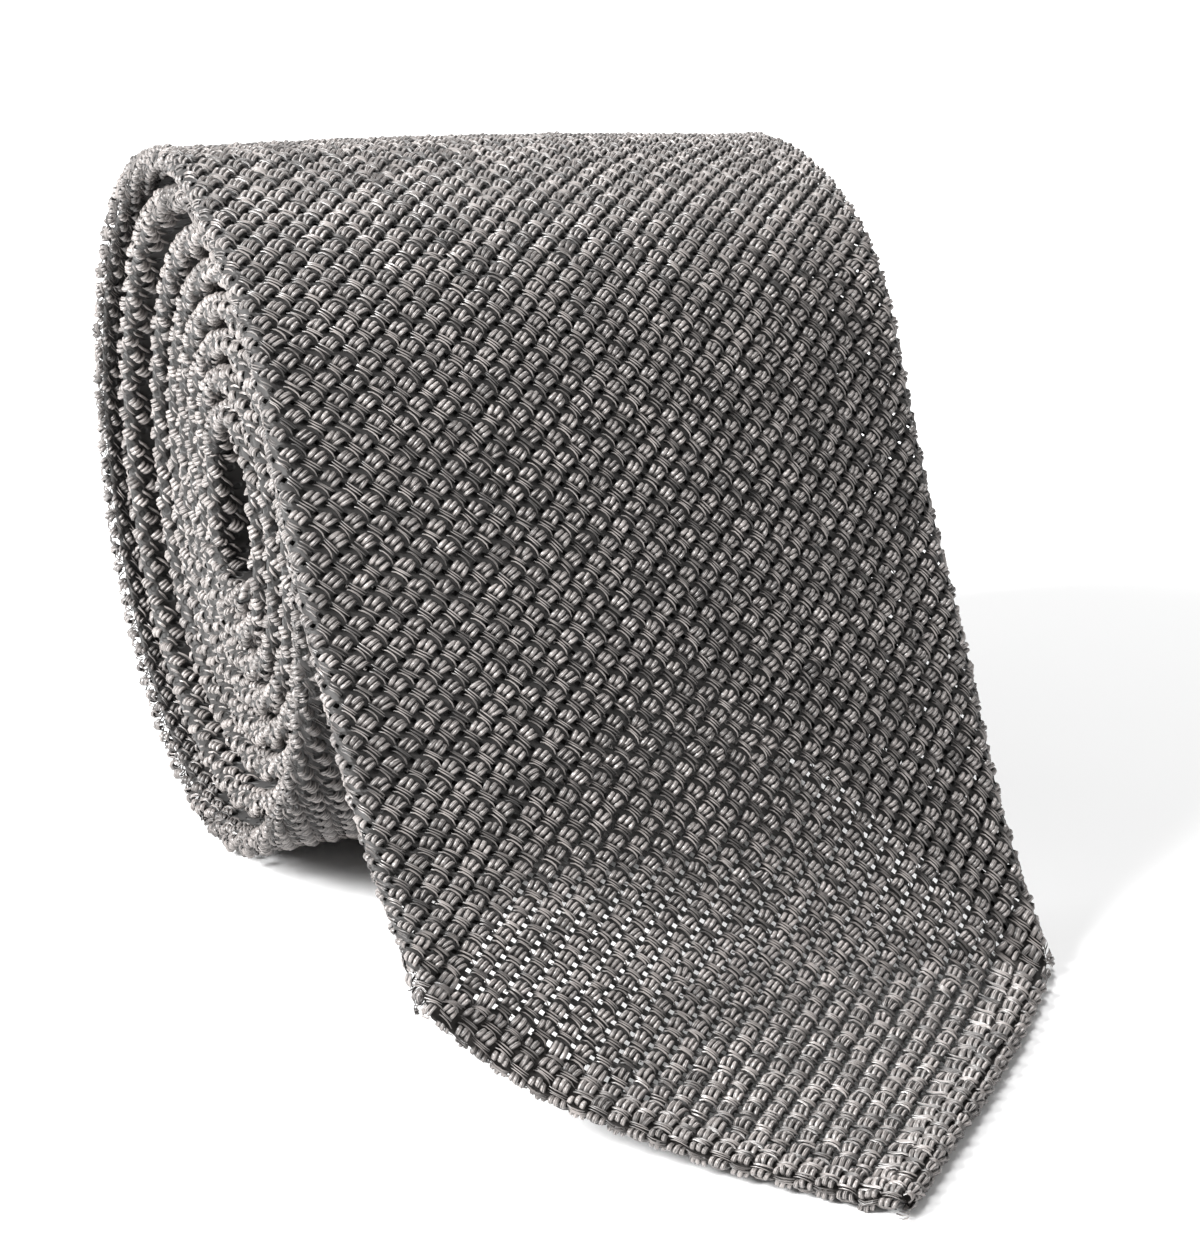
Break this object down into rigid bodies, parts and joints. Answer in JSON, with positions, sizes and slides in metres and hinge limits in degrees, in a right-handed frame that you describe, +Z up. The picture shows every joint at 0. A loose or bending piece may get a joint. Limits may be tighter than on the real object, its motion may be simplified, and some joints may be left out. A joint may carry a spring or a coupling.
{
  "type": "grenadine tie",
  "caption": "Untipped open-weave silk necktie, rolled from its narrow tail, with the wide pointed blade drawn out in front; the tip and flaps have hand-rolled hems.",
  "frame": {"origin": "bottom centre of the tie as it lies rolled, on the plane of the surface", "axes": "+X along the roll and across the cloth, +Z up, and the blade's tip points towards -Y"},
  "size_m": [0.08, 0.1628, 0.0874],
  "materials": {
    "silk_blade": "open leno-weave silk, soft sheen",
    "silk_hem": "hand-rolled silk hem",
    "silk_neck": "folded open-weave silk",
    "silk_tail": "folded open-weave silk"
  },
  "bodies": {
    "root": {"blade": "silk_blade", "blade_flap_left": "silk_blade", "blade_flap_right": "silk_blade", "tip_hem_left": "silk_hem", "tip_hem_right": "silk_hem", "flap_hem_left": "silk_hem", "flap_hem_right": "silk_hem", "neck": "silk_neck", "tail": "silk_tail"}
  },
  "joints": []
}
